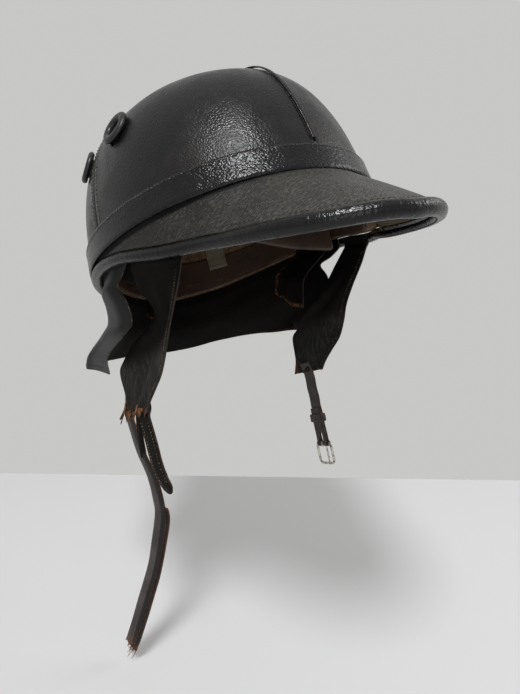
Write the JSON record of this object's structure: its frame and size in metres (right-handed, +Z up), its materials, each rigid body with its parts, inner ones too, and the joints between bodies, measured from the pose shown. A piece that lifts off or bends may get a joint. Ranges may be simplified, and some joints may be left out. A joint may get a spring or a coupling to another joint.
{
  "type": "pudding basin motorcycle helmet",
  "caption": "Open-face leather-covered cork motorcycle helmet with a long peak, bound rim, vent eyelets, neck curtain, swinging ear flaps and chin straps.",
  "frame": {"origin": "centre of the head opening, level with the lower edge of the crown band", "axes": "+Z up with the helmet worn tipped back as in the picture, -Y towards the wearer's front (the peak), +X the wearer's left"},
  "size_m": [0.2258, 0.3439, 0.514],
  "materials": {
    "crown_leather": "satin pebbled",
    "band_leather": "satin",
    "peak_leather": "worn satin",
    "rim_leather": "satin",
    "flap_leather": "matte",
    "strap_leather": "matte",
    "lining_cloth": "matte",
    "cork": "matte",
    "sweatband_leather": "matte",
    "webbing": "matte",
    "vent_rubber": "satin",
    "buckle_metal": "worn"
  },
  "bodies": {
    "helmet": {"cork_shell": "cork", "crown_leather_right": "crown_leather", "crown_leather_left": "crown_leather", "crown_leather_back": "crown_leather", "crown_band": "band_leather", "crown_seam_welt": "crown_leather", "rim_binding": "rim_leather", "nape_facing": "peak_leather", "peak_cover": "peak_leather", "peak_core": "cork", "peak_lining": "lining_cloth", "vent_eyelet_right_front": "vent_rubber", "vent_eyelet_right_rear": "vent_rubber", "vent_eyelet_left_front": "vent_rubber", "vent_eyelet_left_rear": "vent_rubber", "sweatband": "sweatband_leather", "cradle_tongue_1": "webbing", "cradle_tongue_2": "webbing", "cradle_tongue_3": "webbing", "cradle_tongue_4": "webbing", "cradle_tongue_5": "webbing", "cradle_tongue_6": "webbing", "cradle_lace": "webbing", "right_flap_root": "flap_leather", "left_flap_root": "flap_leather", "right_ear_gusset": "flap_leather", "left_ear_gusset": "flap_leather", "neck_curtain": "flap_leather"},
    "right_ear_flap": {"right_ear_flap": "flap_leather"},
    "left_ear_flap": {"left_ear_flap": "flap_leather"},
    "right_strap_tab": {"right_strap_tab": "strap_leather"},
    "right_chin_strap": {"right_chin_strap": "strap_leather"},
    "left_chin_strap": {"left_chin_strap": "strap_leather", "strap_keeper": "strap_leather"},
    "buckle_frame": {"buckle_frame": "buckle_metal"},
    "buckle_prong": {"buckle_prong": "buckle_metal"}
  },
  "joints": [
    {"name": "right_flap_swing", "type": "hinge", "parent": "helmet", "child": "right_ear_flap", "pos_m": [-0.09149, -0.05631, -0.00172], "axis": [-0.3513, 0.9185, -0.1816], "range_deg": [-8, 85]},
    {"name": "left_flap_swing", "type": "hinge", "parent": "helmet", "child": "left_ear_flap", "pos_m": [0.09149, -0.05631, -0.00172], "axis": [-0.3513, -0.9185, 0.1816], "range_deg": [-8, 85]},
    {"name": "right_tab_swing", "type": "hinge", "parent": "right_ear_flap", "child": "right_strap_tab", "pos_m": [-0.09055, -0.01772, -0.12827], "axis": [-0.0423, 0.9046, -0.4242], "range_deg": [-50, 60]},
    {"name": "right_strap_swing", "type": "hinge", "parent": "right_ear_flap", "child": "right_chin_strap", "pos_m": [-0.09177, 0.00839, -0.14117], "axis": [-0.0423, 0.9046, -0.4242], "range_deg": [-50, 60]},
    {"name": "left_strap_swing", "type": "hinge", "parent": "left_ear_flap", "child": "left_chin_strap", "pos_m": [0.09113, -0.00547, -0.13344], "axis": [-0.0423, -0.9046, 0.4242], "range_deg": [-50, 60]},
    {"name": "buckle_frame_swing", "type": "hinge", "parent": "left_chin_strap", "child": "buckle_frame", "pos_m": [0.08882, -0.03509, -0.19683], "axis": [-0.0423, -0.9046, 0.4242], "range_deg": [-90, 90]},
    {"name": "buckle_prong_swing", "type": "hinge", "parent": "buckle_frame", "child": "buckle_prong", "pos_m": [0.08882, -0.03509, -0.19683], "axis": [-0.0423, -0.9046, 0.4242], "range_deg": [0, 60]}
  ]
}
